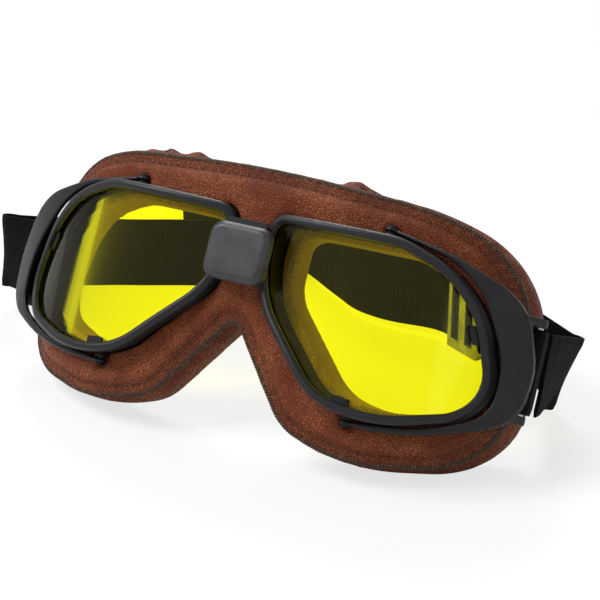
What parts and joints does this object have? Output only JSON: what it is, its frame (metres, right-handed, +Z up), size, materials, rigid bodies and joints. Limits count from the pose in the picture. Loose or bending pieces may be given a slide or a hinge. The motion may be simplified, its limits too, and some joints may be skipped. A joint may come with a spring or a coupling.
{
  "type": "flying goggles",
  "caption": "Aviator flying goggles with yellow lenses, brown leather padding, swinging yokes and a folded elastic strap with a slider.",
  "frame": {"origin": "bottom centre of the whole outline box, on the table that the goggles stand on", "axes": "+X along the width, to the right as the lenses are seen from the front, +Y from the lenses to the strap, +Z up"},
  "size_m": [0.23, 0.171, 0.0876],
  "materials": {
    "bezel": "satin black bezel",
    "lens": "yellow tinted, glossy",
    "skirt": "matt black",
    "clip": "dark satin",
    "cover": "satin, soft edges",
    "yoke": "satin",
    "metal": "bright steel",
    "leather": "brown, pebbled",
    "welt": "overlocked edge",
    "lining": "soft lining",
    "foam": "open cell foam",
    "webbing": "black elastic webbing"
  },
  "bodies": {
    "goggles": {"left_rim": "bezel", "right_rim": "bezel", "left_lens": "lens", "right_lens": "lens", "left_eye_frame": "skirt", "right_eye_frame": "skirt", "left_lens_clips": "clip", "right_lens_clips": "clip", "left_yoke_pivots": "clip", "right_yoke_pivots": "clip", "left_eye_lining": "lining", "right_eye_lining": "lining", "bridge_plate": "clip", "bridge_cover": "cover", "bridge_pins": "metal", "leather_front": "leather", "leather_back": "leather", "foam_core": "foam", "seam_welt": "welt", "strap": "webbing", "strap_tail": "webbing"},
    "left_yoke_body": {"left_yoke": "yoke", "left_strap_pin": "metal", "left_strap_loop": "webbing"},
    "right_yoke_body": {"right_yoke": "yoke", "right_strap_pin": "metal", "right_strap_loop": "webbing"},
    "slider_body": {"strap_slider": "metal"}
  },
  "joints": [
    {"name": "left_yoke_swing", "type": "hinge", "parent": "goggles", "child": "left_yoke_body", "pos_m": [-0.03124, -0.06296, 0.04895], "axis": [0, 0.4939, 0.8695], "range_deg": [0, 10]},
    {"name": "right_yoke_swing", "type": "hinge", "parent": "goggles", "child": "right_yoke_body", "pos_m": [0.06276, -0.06296, 0.04895], "axis": [0, -0.4939, -0.8695], "range_deg": [0, 10]},
    {"name": "slider_slide", "type": "slide", "parent": "goggles", "child": "slider_body", "axis": [0.8844, -0.4668, 0], "range_m": [0, 0.025]}
  ]
}
